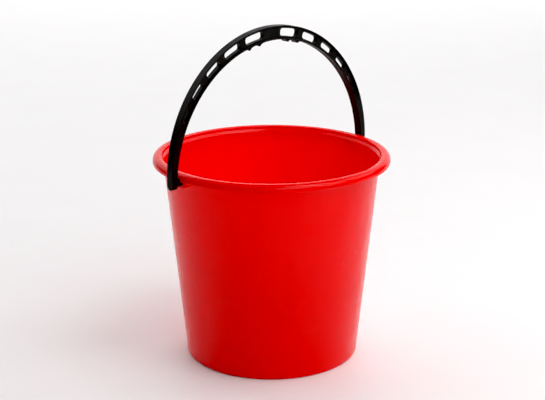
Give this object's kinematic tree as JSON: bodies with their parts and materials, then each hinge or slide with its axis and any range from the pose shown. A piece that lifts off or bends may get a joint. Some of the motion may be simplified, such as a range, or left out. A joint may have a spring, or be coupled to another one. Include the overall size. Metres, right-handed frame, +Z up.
{
  "type": "household wash bucket",
  "caption": "Round tapered plastic bucket with a rolled rim, a ring foot and a pierced swinging carry handle.",
  "frame": {"origin": "centre of the foot ring, on the floor that the bucket stands on", "axes": "+Z up along the tub's axis, X along the handle's pivot axis, Y across the upright handle"},
  "size_m": [0.3026, 0.28, 0.3962],
  "materials": {
    "tub_plastic": "glossy moulded polypropylene, red",
    "handle_plastic": "satin moulded polypropylene, black"
  },
  "bodies": {
    "tub": {"bucket_tub": "tub_plastic"},
    "handle": {"carry_handle": "handle_plastic"}
  },
  "joints": [
    {"name": "handle_swing", "type": "hinge", "parent": "tub", "child": "handle", "pos_m": [0, 0, 0.2362], "axis": [1, 0, 0], "range_deg": [-120, 120]}
  ]
}
